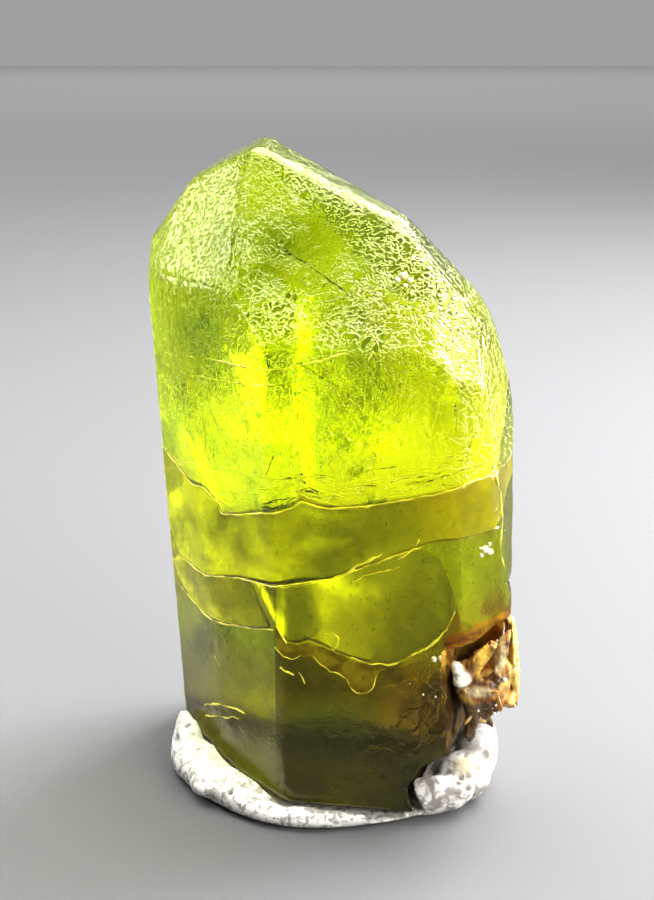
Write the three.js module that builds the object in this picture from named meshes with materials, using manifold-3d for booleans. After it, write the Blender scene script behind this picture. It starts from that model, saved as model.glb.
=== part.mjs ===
// Peridot crystal: one prism of gem olivine with a pointed head and a broken foot, stood upright in a
// hand-pressed pad of white putty, with a remnant of iron-stained matrix on its lower right corner.
// Units are millimetres, +Z is up, the front of the crystal looks along -Y, and the origin is on the
// underside of the putty pad.
import * as THREE from 'three';
import { ConvexGeometry } from 'three/addons/geometries/ConvexGeometry.js';
import { mergeVertices } from 'three/addons/utils/BufferGeometryUtils.js';
import Module from 'manifold-3d';

// ---------------------------------------------------------------- driving dimensions

// Olivine's unit cell in angstroms. The a axis points to the front, b to the right and c up.
const CELL = { a: 4.756, b: 10.207, c: 5.98 };

// How the crystal stands: its c axis leans to the left and a little away, and it is turned about itself.
const LEAN_LEFT = 3.2;
const LEAN_BACK = 0.5;
const TURN = 8.5;

// Each face is a plane: Miller indices h, k, l and its distance from the origin. Indices that aren't whole
// are growth faces a few degrees off the ideal one, as they are on the real crystal.
const FACES = [
  { name: 'front pinacoid', hkl: [1, 0, 0.033], distance: 5.8 },
  { name: 'left front prism', hkl: [1, -2, 0.045], distance: 4.9 },
  { name: 'left side prism', hkl: [1, -3, 0], distance: 4.95 },
  { name: 'left pinacoid', hkl: [0, -1, 0], distance: 7.15 },
  { name: 'right front prism', hkl: [1, 2, 0], distance: 8.6 },
  { name: 'right side, tapering', hkl: [1, 9, 0.35], distance: 9.8 },
  { name: 'right side, back', hkl: [-1, 9, -0.6], distance: 6.6 },
  { name: 'right back prism', hkl: [-1, 3, 0], distance: 6.8 },
  { name: 'left back prism', hkl: [-1, -2, 0], distance: 8.0 },
  { name: 'back pinacoid', hkl: [-1, 0, 0], distance: 5.5 },
  { name: 'front dome', hkl: [1, 0.06, 0.95], distance: 16.35 },
  { name: 'left front pyramid', hkl: [1, -1.95, 1.02], distance: 15.15 },
  { name: 'right front pyramid', hkl: [1, 1.95, 0.97], distance: 16.7 },
  { name: 'left shoulder', hkl: [1, -3, 1], distance: 13.85 },
  { name: 'right shoulder', hkl: [0.8, 6, 1], distance: 13.3 },
  { name: 'right back shoulder', hkl: [-1, 6, 1], distance: 12.25 },
  { name: 'right roof', hkl: [0.1, 1, 1.25], distance: 24.35 },
  { name: 'left roof', hkl: [0.1, -1, 1.25], distance: 25.7 },
  { name: 'right steep roof', hkl: [0.1, 2, 1.03], distance: 19.8 },
  { name: 'left steep roof', hkl: [0.1, -2, 1], distance: 20.6 },
  { name: 'right back pyramid', hkl: [-1, 2, 1], distance: 15.1 },
  { name: 'left back pyramid', hkl: [-1, -2, 1], distance: 18.6 },
  { name: 'back dome', hkl: [-1, 0, 1], distance: 20.4 },
];

// The foot is a break across the prism, level enough to stand in the putty.
const FOOT_HEIGHT = 0.6;

// Width of the worn strip along every edge.
const EDGE_WEAR = 0.26;

// Conchoidal chips taken out of the crystal: centre and radii of each ellipsoid.
const CHIPS = [
  { name: 'lost lower right corner', at: [5.9, -5.4, 1.6], radii: [2.75, 4.0, 2.1] },
  { name: 'lost right foot', at: [8.0, -1.6, 0.8], radii: [2.7, 3.4, 2.6] },
  { name: 'rounded left foot', at: [-8.3, 0.6, 0.2], radii: [1.9, 3.2, 1.7] },
  { name: 'notch on the right edge', at: [8.05, -4.3, 10.3], radii: [0.75, 1.1, 0.6] },
  { name: 'notch at the left end of the main crack', at: [-8.3, 2.2, 14.2], radii: [0.6, 1.3, 0.45] },
  { name: 'scar on the back', at: [-2.6, 8.9, 6.4], radii: [3.6, 3.9, 4.4] },
  { name: 'second scar on the back', at: [4.6, 8.2, 11.5], radii: [3.2, 3.4, 3.0] },
];

// Cracks that reach the front, each as points along its trace, left to right, in x and z. They are cut in
// as narrow grooves, deep enough to feel with a fingernail, as far round as CRACK_BACK.
const CRACK_WIDTH = 0.1;
const CRACK_DEPTH = 0.2;
const CRACK_BACK = 1.5;
const CRACKS = [
  { name: 'main crack', trace: [[-8.4, 14.2], [-6.1, 13.3], [-5.4, 13.4], [-4.6, 12.6], [-2.9, 13.3],
    [-1.6, 13.8], [-1.2, 14.1], [-0.6, 13.9], [1.4, 14.0], [4.3, 14.7], [6.8, 15.2], [8.6, 14.9]] },
  { name: 'second crack', trace: [[-8.4, 9.1], [-6.5, 9.3], [-5.5, 9.3], [-3.8, 10.0], [-1.2, 10.6],
    [0.8, 11.2], [2.2, 11.8], [3.6, 12.4]] },
];

// The pocket that the matrix sits in, on the lower right corner: outward normals and distances.
const SEAT = [
  { name: 'left wall', normal: [-0.95, 0.3, -0.1], distance: -6.9 },
  { name: 'back wall', normal: [0.1, 0.97, 0.2], distance: -1.05 },
  { name: 'roof', normal: [-0.25, -0.1, 0.96], distance: 7.2 },
  { name: 'floor', normal: [0.1, 0.05, -1], distance: -2.7 },
  { name: 'open right', normal: [1, 0, 0], distance: 12 },
  { name: 'open front', normal: [0, -1, 0], distance: 12 },
];

// Matrix: a core with angular shards grown into it. Each shard has a centre, half lengths and a spin
// about the front-to-back axis in degrees.
const SHARDS = [
  { name: 'core', at: [6.5, -4.5, 5.9], half: [1.35, 1.5, 1.75], spin: 10 },
  { name: 'front lump', at: [5.5, -5.4, 6.6], half: [0.8, 0.6, 0.85], spin: 35 },
  { name: 'white grain', at: [5.05, -5.85, 7.1], half: [0.42, 0.38, 0.38], spin: 20 },
  { name: 'lower white grain', at: [5.4, -5.9, 6.6], half: [0.42, 0.36, 0.5], spin: 70 },
  { name: 'tall splinter', at: [6.2, -5.6, 7.5], half: [0.34, 0.44, 1.05], spin: 42 },
  { name: 'outer splinter', at: [7.0, -5.1, 7.4], half: [0.3, 0.5, 1.25], spin: 18 },
  { name: 'shell fragment', at: [6.1, -5.6, 6.0], half: [0.9, 0.45, 0.42], spin: -24 },
  { name: 'lower shell fragment', at: [5.85, -5.4, 5.5], half: [0.62, 0.5, 0.5], spin: 40 },
  { name: 'edge flake', at: [7.66, -4.1, 7.1], half: [0.27, 1.0, 2.45], spin: -6 },
  { name: 'flake foot', at: [7.45, -4.3, 5.1], half: [0.55, 0.85, 0.55], spin: 15 },
  { name: 'hanging strip', at: [5.95, -5.2, 4.5], half: [0.36, 0.5, 1.25], spin: 8 },
  { name: 'back lump', at: [7.0, -3.1, 5.6], half: [0.75, 1.1, 1.2], spin: 0 },
];
const SHARD_CORNERS = 16;

// Putty: a pressed pad, thinner at the front, with lumps squeezed up at the right against the broken
// corner. A spin is in degrees about the front-to-back axis.
const PAD_CENTRE = [0, 0.45];
const PAD_RADII = [7.45, 7.15];
const PAD_THICKNESS = 1.3;
const PAD_FRONT_DIP = 0.36;
const PAD_WAVINESS = 0.14;
const PAD_SECTORS = 76;
const LUMPS = [
  { at: [6.45, -2.5, 1.5], radii: [0.95, 1.25, 1.75], spin: 12 },
  { at: [6.5, -0.6, 1.05], radii: [0.9, 1.9, 1.15], spin: 0 },
  { at: [5.75, -3.8, 1.05], radii: [1.25, 0.95, 1.15], spin: -24 },
  { at: [4.3, -4.9, 0.72], radii: [1.9, 0.85, 0.8], spin: -10 },
  { at: [-6.35, 1.3, 0.8], radii: [0.9, 3.3, 0.95], spin: 0 },
  { at: [-5.4, -2.6, 0.75], radii: [0.9, 2.2, 0.7], spin: 0 },
  { at: [1.5, 6.5, 0.8], radii: [3.4, 0.9, 0.75], spin: 0 },
];
const PITS = [
  { at: [-2.4, -6.6, 0.75], radius: 0.26 },
  { at: [-3.2, -6.3, 0.6], radius: 0.2 },
  { at: [0.4, -6.75, 0.45], radius: 0.22 },
  { at: [5.1, -5.25, 1.3], radius: 0.22 },
  { at: [6.7, -3.6, 1.9], radius: 0.25 },
  { at: [-5.65, -4.3, 1.15], radius: 0.22 },
];

// Clearance kept between the pieces where they would touch.
const GAP = 0.3;

const FINISHES = {
  crystal: { color: 0xb4d312, roughness: 0.12, metalness: 0 },
  matrix: { color: 0x9a6227, roughness: 0.75, metalness: 0 },
  putty: { color: 0xe2ded2, roughness: 0.85, metalness: 0 },
};

// ---------------------------------------------------------------- helpers

const wasm = await Module();
wasm.setup();

function solidFrom(geometry) {
  const bare = new THREE.BufferGeometry();
  bare.setAttribute('position', geometry.getAttribute('position').clone());
  if (geometry.index) bare.setIndex(geometry.index.clone());
  const merged = mergeVertices(bare, 1e-4);
  return new wasm.Manifold(new wasm.Mesh({
    numProp: 3,
    vertProperties: new Float32Array(merged.getAttribute('position').array),
    triVerts: new Uint32Array(merged.index.array),
  }));
}

function geometryFrom(solid) {
  const { vertProperties, triVerts } = solid.getMesh();
  const geometry = new THREE.BufferGeometry();
  geometry.setAttribute('position', new THREE.BufferAttribute(new Float32Array(vertProperties), 3));
  geometry.setIndex(new THREE.BufferAttribute(new Uint32Array(triVerts), 1));
  return geometry;
}

// Repeatable random numbers from 0 to 1.
function randomFrom(seed) {
  let state = seed;
  return () => {
    state = (state * 1664525 + 1013904223) % 4294967296;
    return state / 4294967296;
  };
}

const stance = new THREE.Matrix4().makeRotationFromEuler(new THREE.Euler(
  THREE.MathUtils.degToRad(-LEAN_BACK),
  THREE.MathUtils.degToRad(-LEAN_LEFT),
  THREE.MathUtils.degToRad(-TURN),
  'YXZ',
));

function facePlane({ hkl: [h, k, l], distance }) {
  const normal = new THREE.Vector3(k / CELL.b, -h / CELL.a, l / CELL.c).normalize();
  return { normal: normal.transformDirection(stance), distance };
}

const grown = (planes, by) => planes.map(({ normal, distance }) => ({ normal, distance: distance + by }));

// Corners of the space that lies inside every plane, each with the planes that meet there.
function corners(planes) {
  const found = [];
  const point = new THREE.Vector3();
  const system = new THREE.Matrix3();
  for (let i = 0; i < planes.length; i += 1) {
    for (let j = i + 1; j < planes.length; j += 1) {
      for (let k = j + 1; k < planes.length; k += 1) {
        const [p, q, r] = [planes[i], planes[j], planes[k]];
        system.set(...p.normal.toArray(), ...q.normal.toArray(), ...r.normal.toArray());
        if (Math.abs(system.determinant()) < 1e-4) continue;
        point.set(p.distance, q.distance, r.distance).applyMatrix3(system.invert());
        if (planes.some(({ normal, distance }) => normal.dot(point) > distance + 1e-6)) continue;
        found.push({ point: point.clone(), planes: [i, j, k] });
      }
    }
  }
  return found;
}

function convexSolid(planes) {
  const points = [];
  for (const { point } of corners(planes)) {
    if (points.every((other) => other.distanceTo(point) > 2e-3)) points.push(point);
  }
  return solidFrom(new ConvexGeometry(points));
}

// The planes again, with one more across every edge, so that no edge is sharp.
function withWornEdges(planes, width) {
  const shared = new Map();
  for (const { point, planes: [i, j, k] } of corners(planes)) {
    for (const pair of [[i, j], [j, k], [i, k]]) {
      const key = pair.join();
      const ends = shared.get(key) ?? [];
      if (ends.every((other) => other.distanceTo(point) > 1e-3)) ends.push(point);
      shared.set(key, ends);
    }
  }
  const worn = [...planes];
  for (const [key, ends] of shared) {
    if (ends.length < 2) continue;
    const [first, second] = key.split(',').map((index) => planes[index]);
    const normal = first.normal.clone().add(second.normal).normalize();
    const depth = (width / 2) * Math.tan(first.normal.angleTo(second.normal) / 2);
    worn.push({ normal, distance: normal.dot(ends[0]) - depth });
  }
  return worn;
}

function ellipsoid({ at, radii, spin = 0 }, columns, rows) {
  const geometry = new THREE.SphereGeometry(1, columns, rows);
  geometry.scale(...radii);
  geometry.rotateY(THREE.MathUtils.degToRad(spin));
  geometry.translate(...at);
  return solidFrom(geometry);
}

// ---------------------------------------------------------------- the pieces

const footPlane = { normal: new THREE.Vector3(0, 0, -1), distance: -FOOT_HEIGHT };
const crystalPlanes = [...FACES.map(facePlane), footPlane];
const grownCrystal = convexSolid(grown(crystalPlanes, GAP));

// A crack's groove is cut by a thin ribbon that follows its trace and runs back into the prism.
function crackBlade({ trace }) {
  const front = 10;
  const upper = trace.map(([x, z]) => new THREE.Vector2(x, z + CRACK_WIDTH / 2));
  const lower = trace.map(([x, z]) => new THREE.Vector2(x, z - CRACK_WIDTH / 2)).reverse();
  const geometry = new THREE.ExtrudeGeometry(new THREE.Shape([...upper, ...lower]), {
    depth: front + CRACK_BACK,
    bevelEnabled: false,
  });
  geometry.rotateX(Math.PI / 2);
  geometry.translate(0, CRACK_BACK, 0);
  return solidFrom(geometry);
}

function makeCrystal() {
  let crystal = convexSolid(withWornEdges(crystalPlanes, EDGE_WEAR));
  const beneathSkin = convexSolid(grown(crystalPlanes, -CRACK_DEPTH));
  for (const crack of CRACKS) {
    crystal = crystal.subtract(crackBlade(crack).subtract(beneathSkin));
  }
  crystal = crystal.subtract(seatSolid(0));
  for (const chip of CHIPS) {
    crystal = crystal.subtract(ellipsoid(chip, 28, 18));
  }
  return crystal;
}

function seatSolid(inset) {
  return convexSolid(SEAT.map(({ normal, distance }) => (
    { normal: new THREE.Vector3(...normal).normalize(), distance: distance - inset })));
}

function makeShard({ at, half, spin }, seed) {
  const random = randomFrom(seed);
  const points = [];
  for (let i = 0; i < SHARD_CORNERS; i += 1) {
    const up = 1 - (2 * (i + 0.5)) / SHARD_CORNERS;
    const around = i * 2.399963 + random() * 0.9;
    const out = Math.sqrt(1 - up * up);
    const reach = 0.82 + 0.3 * random();
    points.push(new THREE.Vector3(out * Math.cos(around), out * Math.sin(around), up)
      .multiplyScalar(reach).multiply(new THREE.Vector3(...half)));
  }
  const geometry = new ConvexGeometry(points);
  geometry.rotateY(THREE.MathUtils.degToRad(spin));
  geometry.translate(...at);
  return solidFrom(geometry);
}

function makeMatrix() {
  const shards = SHARDS.map((shard, index) => makeShard(shard, 11 + index));
  const lump = shards.reduce((whole, shard) => whole.add(shard));
  return lump.subtract(grownCrystal.subtract(seatSolid(GAP)));
}

// Half of the pad's section, as shares of its radius and thickness, from the axis underneath to the axis
// on top.
const PAD_PROFILE = [[0, 0], [0.55, 0], [0.93, 0], [0.985, 0.2], [1, 0.5], [0.985, 0.78], [0.94, 0.95],
  [0.86, 1.02], [0.72, 1], [0.5, 0.96], [0.25, 0.94], [0, 0.93]];

function makePad() {
  const points = PAD_PROFILE.map(([out, up]) => new THREE.Vector2(out, up * PAD_THICKNESS));
  const geometry = new THREE.LatheGeometry(points, PAD_SECTORS);
  geometry.rotateX(Math.PI / 2);
  const position = geometry.getAttribute('position');
  for (let i = 0; i < position.count; i += 1) {
    const [x, y, z] = [position.getX(i), position.getY(i), position.getZ(i)];
    const angle = Math.atan2(y, x);
    const out = Math.hypot(x, y);
    const swell = 1 + out * (0.012 * Math.sin(3 * angle + 0.6) + 0.01 * Math.sin(7 * angle + 2));
    const dip = PAD_FRONT_DIP * out * Math.max(0, -Math.sin(angle)) ** 2;
    const wave = Math.sin(5 * angle + 1.1) + 0.7 * Math.sin(11 * angle + 9 * out);
    const lift = PAD_WAVINESS * wave * out * 0.5 * (z / PAD_THICKNESS) ** 2;
    position.setXYZ(
      i,
      PAD_CENTRE[0] + PAD_RADII[0] * swell * x,
      PAD_CENTRE[1] + PAD_RADII[1] * swell * y,
      z * (1 - dip) + lift,
    );
  }
  return solidFrom(geometry);
}

// The lost corners, smaller by the gap, so that the putty may rise into them.
function cornersOpenToPutty() {
  return CHIPS.slice(0, 2)
    .map(({ at, radii }) => ellipsoid({ at, radii: radii.map((radius) => radius - GAP) }, 28, 18))
    .reduce((whole, chip) => whole.add(chip));
}

function makePutty() {
  let putty = makePad();
  for (const lump of LUMPS) {
    putty = putty.add(ellipsoid(lump, 22, 14));
  }
  for (const { at, radius } of PITS) {
    putty = putty.subtract(ellipsoid({ at, radii: [radius, radius, radius] }, 10, 7));
  }
  const below = new THREE.BoxGeometry(30, 30, 5).translate(0, 0, -2.5);
  return putty.subtract(solidFrom(below)).subtract(grownCrystal.subtract(cornersOpenToPutty()));
}

// ---------------------------------------------------------------- the assembly

const part = new THREE.Group();

function addPiece(name, solid, finish) {
  const mesh = new THREE.Mesh(geometryFrom(solid), new THREE.MeshStandardMaterial(finish));
  mesh.name = name;
  part.add(mesh);
}

addPiece('peridot_crystal', makeCrystal(), FINISHES.crystal);
addPiece('iron_stained_matrix', makeMatrix(), FINISHES.matrix);
addPiece('putty_base', makePutty(), FINISHES.putty);

export default part;
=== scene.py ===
"""Peridot crystal on its putty: the finished looks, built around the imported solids.

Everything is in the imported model's own frame. Sizes here are millimetres unless a name says
otherwise, and become metres where a mesh is made.
"""

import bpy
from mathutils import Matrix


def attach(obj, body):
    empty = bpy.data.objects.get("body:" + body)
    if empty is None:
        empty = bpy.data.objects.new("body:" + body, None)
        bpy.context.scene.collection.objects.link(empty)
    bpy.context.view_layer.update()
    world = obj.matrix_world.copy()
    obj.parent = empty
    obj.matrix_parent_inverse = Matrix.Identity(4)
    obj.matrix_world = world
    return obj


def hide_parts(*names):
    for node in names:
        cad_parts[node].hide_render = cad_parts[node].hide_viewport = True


bl_info = {
    "name": "Peridot Crystal on Putty",
    "version": (1, 0, 0),
    "blender": (4, 5, 0),
    "location": "3D View > Sidebar > Peridot",
    "description": "Builds a gem peridot prism with its fractures, rusty matrix and pad of putty",
    "category": "Add Mesh",
}

import math
from functools import cached_property, reduce

import bmesh
import bpy
import numpy as np
from bpy.props import FloatProperty, FloatVectorProperty
from mathutils import Vector, geometry, noise

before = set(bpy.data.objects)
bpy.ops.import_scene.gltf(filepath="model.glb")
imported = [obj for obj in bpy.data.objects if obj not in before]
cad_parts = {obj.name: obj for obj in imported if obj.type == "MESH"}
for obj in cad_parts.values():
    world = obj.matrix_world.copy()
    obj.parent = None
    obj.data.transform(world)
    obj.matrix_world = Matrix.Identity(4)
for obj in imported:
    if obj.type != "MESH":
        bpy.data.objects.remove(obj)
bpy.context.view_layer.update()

MM = 0.001
ROOT = "root"


# ------------------------------------------------------------------ settings shown in the sidebar


def length(name, description, default, least, most):
    """A setting that is a length, given in mm and kept in metres."""
    return FloatProperty(name=name, description=description, default=default * MM, min=least * MM,
                         max=most * MM, precision=6, subtype="DISTANCE", unit="LENGTH")


def tint(name, description, default):
    """A setting that is a colour."""
    return FloatVectorProperty(name=name, description=description, default=default, min=0.0, max=1.0,
                               subtype="COLOR")


class CrystalSettings(bpy.types.PropertyGroup):
    front_step: length("Front step", "Distance between points on the faces in front", 0.12, 0.05, 1.0)
    back_step: length("Back step", "Distance between points on the other faces", 0.25, 0.05, 1.0)
    edge_wear: length("Edge wear", "Radius that the edges are worn to", 0.045, 0.01, 0.3)
    etch_depth: length("Etch depth", "Depth of the etched marks on the pyramid faces", 0.02, 0.0, 0.1)
    gem: tint("Gem", "Tint of the clear upper half", (0.82, 1.0, 0.04))


class MatrixSettings(bpy.types.PropertyGroup):
    voxel: length("Voxel", "Size of the remesh voxel of the matrix", 0.06, 0.03, 0.5)
    rust: tint("Rust", "Iron-stained rock", (0.34, 0.12, 0.012))
    grain: tint("Grain", "White grains", (0.85, 0.8, 0.66))


class PuttySettings(bpy.types.PropertyGroup):
    voxel: length("Voxel", "Size of the remesh voxel of the putty", 0.11, 0.05, 0.5)
    clean: tint("Clean putty", "White of the putty", (0.7, 0.68, 0.63))
    dirt: tint("Dirt", "Grey-brown dirt in its pits", (0.1, 0.078, 0.055))


class StageSettings(bpy.types.PropertyGroup):
    floor: tint("Floor", "Colour of the floor", (0.09, 0.09, 0.092))
    sky: FloatProperty(name="Room light", description="Strength of the room's even light", default=0.35,
                       min=0.0, max=5.0)


# ------------------------------------------------------------------ shared helpers


def new_object(name, data):
    """A new object in the scene that holds the mesh, light or camera."""
    piece = bpy.data.objects.new(name, data)
    bpy.context.scene.collection.objects.link(piece)
    return piece


def mesh_of(bm, name):
    """A new mesh with what the bmesh holds. The bmesh is freed."""
    mesh = bpy.data.meshes.new(name)
    bm.to_mesh(mesh)
    bm.free()
    return mesh


def baked(piece):
    """The piece with its modifiers applied, as a plain mesh."""
    depsgraph = bpy.context.evaluated_depsgraph_get()
    mesh = bpy.data.meshes.new_from_object(piece.evaluated_get(depsgraph))
    piece.modifiers.clear()
    piece.data = mesh
    return piece


def finished(mesh):
    """The mesh with smooth shading and no empty material slots."""
    mesh.polygons.foreach_set("use_smooth", [True] * len(mesh.polygons))
    for index in reversed(range(len(mesh.materials))):
        if mesh.materials[index] is None:
            mesh.materials.pop(index=index)
    return mesh


def merged_copy(node, name):
    """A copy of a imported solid's mesh with its loose triangles joined."""
    bm = bmesh.new()
    bm.from_mesh(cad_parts[node].data)
    bmesh.ops.remove_doubles(bm, verts=bm.verts, dist=1e-7)
    return mesh_of(bm, name)


def remeshed(piece, voxel, rounds):
    """An even mesh over the piece, smoothed so that its joins run together. The voxel is in metres."""
    remesh = piece.modifiers.new("remesh", "REMESH")
    remesh.mode = "VOXEL"
    remesh.voxel_size = voxel
    soften = piece.modifiers.new("soften", "SMOOTH")
    soften.factor = 0.5
    soften.iterations = rounds
    return baked(piece)


def noise_at(points, scale, seed=0.0, octaves=2):
    """Smooth noise, about -1 to 1, at each point. The scale is a number or one for each axis."""
    moved = points * scale + seed
    return np.array([noise.fractal(Vector(p), 1.0, 2.0, octaves) for p in moved])


def smoothstep(value, low, high):
    """0 below low, 1 above high and an even curve between them."""
    t = np.clip((value - low) / (high - low), 0, 1)
    return t * t * (3 - 2 * t)


# ------------------------------------------------------------------ node trees


class Nodes:
    """Short calls to add and join the nodes of a tree."""

    def __init__(self, tree):
        self.tree = tree

    def add(self, kind, settings=None, **inputs):
        """A node of that kind. Inputs are named with _ for a space, or iN for input number N."""
        prefix = "" if kind.startswith(("GeometryNode", "FunctionNode")) else "ShaderNode"
        node = self.tree.nodes.new(prefix + kind)
        for name, value in (settings or {}).items():
            setattr(node, name, value)
        for name, value in inputs.items():
            key = int(name[1:]) if name[1:].isdigit() else name.replace("_", " ")
            self.feed(node.inputs[key], value)
        return node

    def feed(self, socket, value):
        """Links the socket to another one, or gives it a plain value."""
        if isinstance(value, bpy.types.NodeSocket):
            self.tree.links.new(value, socket)
        elif socket.type == "RGBA" and len(value) == 3:
            socket.default_value = (*value, 1)
        else:
            socket.default_value = value

    def math(self, operation, a, b=0.0):
        return self.add("Math", {"operation": operation}, i0=a, i1=b).outputs[0]

    def product(self, *values):
        return reduce(lambda found, value: self.math("MULTIPLY", found, value), values)

    def total(self, *values):
        return reduce(lambda found, value: self.math("ADD", found, value), values)

    def largest(self, *values):
        return reduce(lambda found, value: self.math("MAXIMUM", found, value), values)

    def vector(self, operation, a, **inputs):
        return self.add("VectorMath", {"operation": operation}, i0=a, **inputs).outputs[0]

    def axes(self, vector):
        """The vector's x, y and z."""
        return self.add("SeparateXYZ", Vector=vector).outputs

    def ramp(self, value, low, high, to_low=0.0, to_high=1.0):
        """An even curve from to_low, where the value is low, to to_high, where it is high."""
        node = self.add("MapRange", {"interpolation_type": "SMOOTHSTEP"}, Value=value)
        for name, limit in (("From Min", low), ("From Max", high), ("To Min", to_low), ("To Max", to_high)):
            self.feed(node.inputs[name], limit)
        return node.outputs[0]

    def rated(self, mask, outside, inside):
        """One number where the mask is 0, and another where it is 1."""
        return self.ramp(mask, 0.0, 1.0, outside, inside)

    def opposite(self, mask):
        return self.rated(mask, 1.0, 0.0)

    def noise(self, vector, scale, detail, distortion=0.0):
        """Smooth noise from 0 to 1."""
        inputs = {"Vector": vector, "Scale": scale, "Detail": detail, "Distortion": distortion}
        return self.add("TexNoise", **inputs).outputs[0]

    def swing(self, *settings):
        """Smooth noise from -0.5 to 0.5."""
        return self.math("SUBTRACT", self.noise(*settings), 0.5)

    def cells(self, vector, scale):
        """Distance to the nearest of scattered points."""
        return self.add("TexVoronoi", Vector=vector, Scale=scale).outputs["Distance"]

    def attribute(self, name):
        return self.add("Attribute", {"attribute_name": name}).outputs["Fac"]

    def mix(self, factor, a, b):
        return self.add("Mix", {"data_type": "RGBA"}, i0=factor, i6=a, i7=b).outputs[2]

    def layered(self, colour, *layers):
        """The colour under layers. Each is a mask and the colour that it lays over what came before."""
        return reduce(lambda found, layer: self.mix(layer[0], found, layer[1]), layers, colour)

    def darker(self, colour, mask, amount):
        """The colour times a grey that falls to amount where the mask is 1."""
        grey = self.mix(mask, (1.0, 1.0, 1.0), (amount, amount, amount))
        settings = {"data_type": "RGBA", "blend_type": "MULTIPLY"}
        return self.add("Mix", settings, i0=1.0, i6=colour, i7=grey).outputs[2]


SOCKET_OF_DEFAULT = {int: "Int", float: "Float"}


def new_group(name, kind, inputs, outputs):
    """A new node group's nodes and its own sockets. An input has a default, or a kind of socket."""
    tree = bpy.data.node_groups.new(name, kind)
    for label, value in inputs.items():
        plain = isinstance(value, str)
        socket = "NodeSocket" + (value if plain else SOCKET_OF_DEFAULT[type(value)])
        made = tree.interface.new_socket(label, in_out="INPUT", socket_type=socket)
        if not plain:
            made.default_value = value
    for label, value in outputs.items():
        tree.interface.new_socket(label, in_out="OUTPUT", socket_type="NodeSocket" + value)
    return Nodes(tree), tree.nodes.new("NodeGroupInput").outputs, tree.nodes.new("NodeGroupOutput").inputs


def mottle_group():
    """Ragged patches with soft borders, and the grit that they are made from."""
    nodes, given, out = new_group(
        "mottle", "ShaderNodeTree",
        {"Scale": 1000.0, "Detail": 3.0, "Distortion": 0.0, "Low": 0.4, "High": 0.6, "Vector": "Vector"},
        {"Mask": "Float", "Grit": "Float"})
    grit = nodes.noise(*(given[name] for name in ("Vector", "Scale", "Detail", "Distortion")))
    nodes.feed(out["Mask"], nodes.ramp(grit, given["Low"], given["High"]))
    nodes.feed(out["Grit"], grit)
    return nodes.tree


def patch_group():
    """An ellipsoid patch that fades out around its border."""
    nodes, given, out = new_group(
        "patch", "ShaderNodeTree", dict.fromkeys(("Vector", "Centre", "Radii"), "Vector"), {"Mask": "Float"})
    moved = nodes.vector("SUBTRACT", given["Vector"], i1=given["Centre"])
    scaled = nodes.vector("DIVIDE", moved, i1=given["Radii"])
    distance = nodes.add("VectorMath", {"operation": "LENGTH"}, i0=scaled).outputs["Value"]
    nodes.feed(out["Mask"], nodes.ramp(distance, 0.45, 1.15, 1.0, 0.0))
    return nodes.tree


def new_geometry_group(name, numbers):
    """A new geometry group's nodes and sockets: a geometry, a material and named numbers."""
    inputs = {"Geometry": "Geometry", "Material": "Material", **numbers}
    return new_group(name, "GeometryNodeTree", inputs, {"Geometry": "Geometry"})


def painted(nodes, instances, material):
    """Instances made real, with the material."""
    real = nodes.add("GeometryNodeRealizeInstances", Geometry=instances)
    return nodes.add("GeometryNodeSetMaterial", Geometry=real.outputs[0], Material=material).outputs[0]


def relief_tree():
    """Moves a surface in and out along its normals: broad lumps, cellular pits and fine grit, in mm."""
    nodes, given, out = new_geometry_group("relief", {
        "Lump Height": 0.1, "Lump Size": 1.0, "Pit Depth": 0.05, "Pit Size": 0.5, "Grit Height": 0.02,
        "Grit Size": 0.15, "Flat Below": 0.0})
    place = nodes.add("GeometryNodeInputPosition").outputs[0]
    normal = nodes.add("GeometryNodeInputNormal").outputs[0]
    per_lump, per_pit, per_grit = (
        nodes.math("DIVIDE", 1 / MM, given[name]) for name in ("Lump Size", "Pit Size", "Grit Size"))
    pits = nodes.ramp(nodes.cells(place, per_pit), 0.05, 0.4, -1.0, 0.0)
    sparse = nodes.ramp(nodes.noise(place, nodes.product(per_pit, 0.4), 1), 0.48, 0.6)
    height = nodes.total(
        nodes.product(nodes.swing(place, per_lump, 2), given["Lump Height"]),
        nodes.product(pits, sparse, given["Pit Depth"]),
        nodes.product(nodes.swing(place, per_grit, 3), given["Grit Height"]))
    flat = nodes.product(given["Flat Below"], MM)
    free = nodes.ramp(nodes.axes(place)[2], flat, nodes.total(flat, 0.4 * MM))
    offset = nodes.vector("SCALE", normal, Scale=nodes.product(height, free, MM))
    moved = nodes.add("GeometryNodeSetPosition", Geometry=given["Geometry"], Offset=offset)
    nodes.feed(out["Geometry"], painted(nodes, moved.outputs[0], given["Material"]))
    return nodes.tree


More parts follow.
